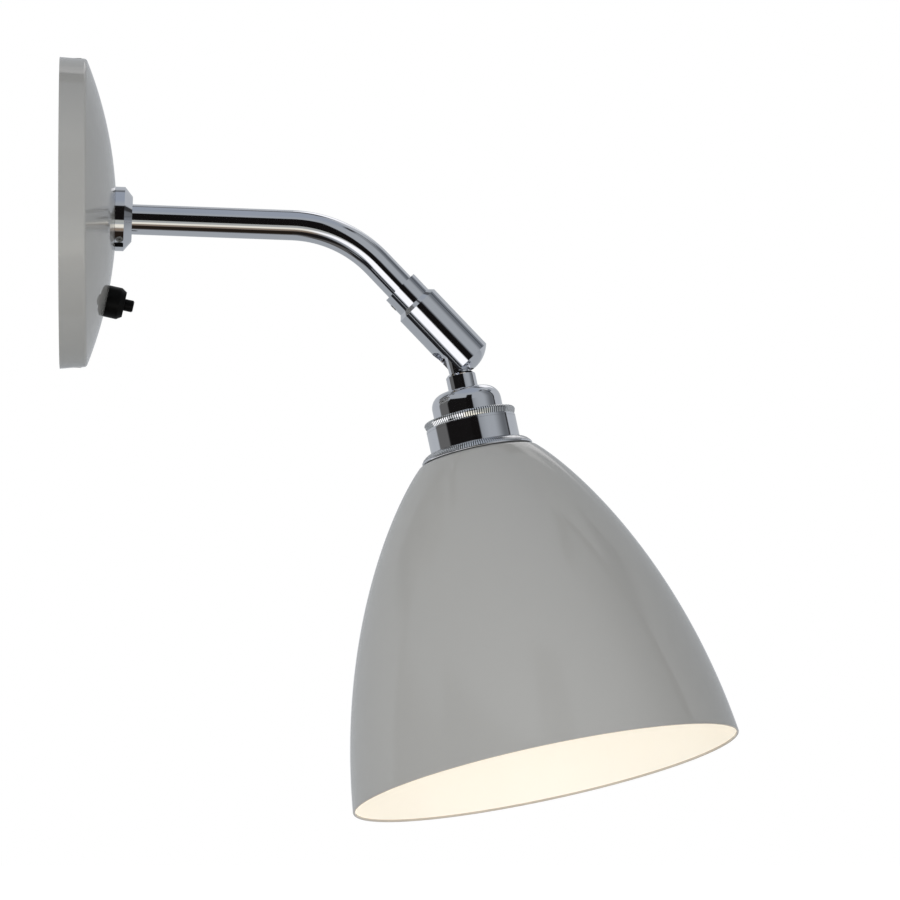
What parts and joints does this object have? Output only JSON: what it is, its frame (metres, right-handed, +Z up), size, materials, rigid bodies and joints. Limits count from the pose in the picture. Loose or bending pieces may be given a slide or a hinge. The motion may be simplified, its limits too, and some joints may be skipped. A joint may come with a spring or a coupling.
{
  "type": "wall lamp",
  "caption": "Wall lamp with a round domed wall plate, a bent chrome arm, a swivel and ball knuckle, a push switch and a deep flared metal shade that points down.",
  "frame": {"origin": "on the wall plane at the wall plate's centre, midway between the two wall screws", "axes": "+X points out of the wall, +Z points up, +Y points to the left of somebody who looks at the wall; the shade hangs below the arm at rest"},
  "size_m": [0.2852, 0.1749, 0.3217],
  "materials": {
    "paint": "grey gloss paint",
    "shade_paint": "grey gloss paint outside, warm white inside",
    "chrome": "polished",
    "steel": "zinc plated",
    "brass": "plain",
    "black_plastic": "satin",
    "switch_plastic": "semi-gloss",
    "white_plastic": "satin",
    "cable_sheath": "satin",
    "blue_core": "satin",
    "green_core": "green and yellow",
    "brown_core": "satin",
    "bulb_glass": "frosted"
  },
  "bodies": {
    "base": {"mounting_bracket": "steel", "cover_screws": "steel", "wall_plate": "paint", "stiffening_washer": "steel", "back_nut": "steel", "wall_collar": "chrome", "collar_grub_screw": "steel", "arm_tube": "chrome", "cable_bush": "black_plastic", "arm_cable": "cable_sheath", "terminal_block": "white_plastic", "terminal_barrels": "brass", "terminal_screws": "steel", "block_screws": "steel", "earth_screw": "brass", "earth_tag": "brass", "neutral_core": "blue_core", "earth_core": "green_core", "switched_core": "brown_core", "feed_core": "brown_core", "switch_body": "black_plastic", "switch_lock_nut": "steel", "switch_nose": "switch_plastic", "switch_terminals": "brass", "switch_spring": "steel", "knuckle_collar": "chrome", "knuckle_grub_screw": "steel", "swivel_stop_pin": "steel", "swivel_clip": "steel"},
    "barrel": {"knuckle_barrel": "chrome", "swivel_washer": "steel", "pressure_washer": "steel", "pressure_spring": "steel", "pressure_pad": "brass"},
    "head": {"ball_stud": "chrome", "guide_pins": "steel", "stem_coupler": "chrome", "lampholder_cap": "chrome", "holder_earth_tag": "brass", "holder_nut": "brass", "lampholder_sleeve": "chrome", "shade_ring": "chrome", "clamp_ring": "chrome", "shade": "shade_paint", "insulator": "white_plastic", "screw_shell": "brass", "centre_contact": "brass", "holder_terminals": "brass", "holder_cores": "brown_core", "lamp_cable": "cable_sheath", "bulb_cap": "steel", "bulb_contact": "black_plastic", "bulb_glass": "bulb_glass"},
    "button": {"switch_button": "switch_plastic"}
  },
  "joints": [
    {"name": "barrel_swivel", "type": "hinge", "parent": "base", "child": "barrel", "pos_m": [0.16534, 0, -0.05467], "axis": [0.6915, 0, -0.7224], "range_deg": [-144.1, 175.9]},
    {"name": "head_tilt", "type": "hinge", "parent": "barrel", "child": "head", "pos_m": [0.16534, 0, -0.05467], "axis": [-0.1979, 0.9617, -0.1894], "range_deg": [-2.6, 37.4]},
    {"name": "switch_press", "type": "slide", "parent": "base", "child": "button", "axis": [-0.9768, 0, 0.214], "range_m": [0, 0.0022], "stiffness_N_per_m": 600, "springref_m": -0.002, "deforming": ["switch_spring"]}
  ]
}
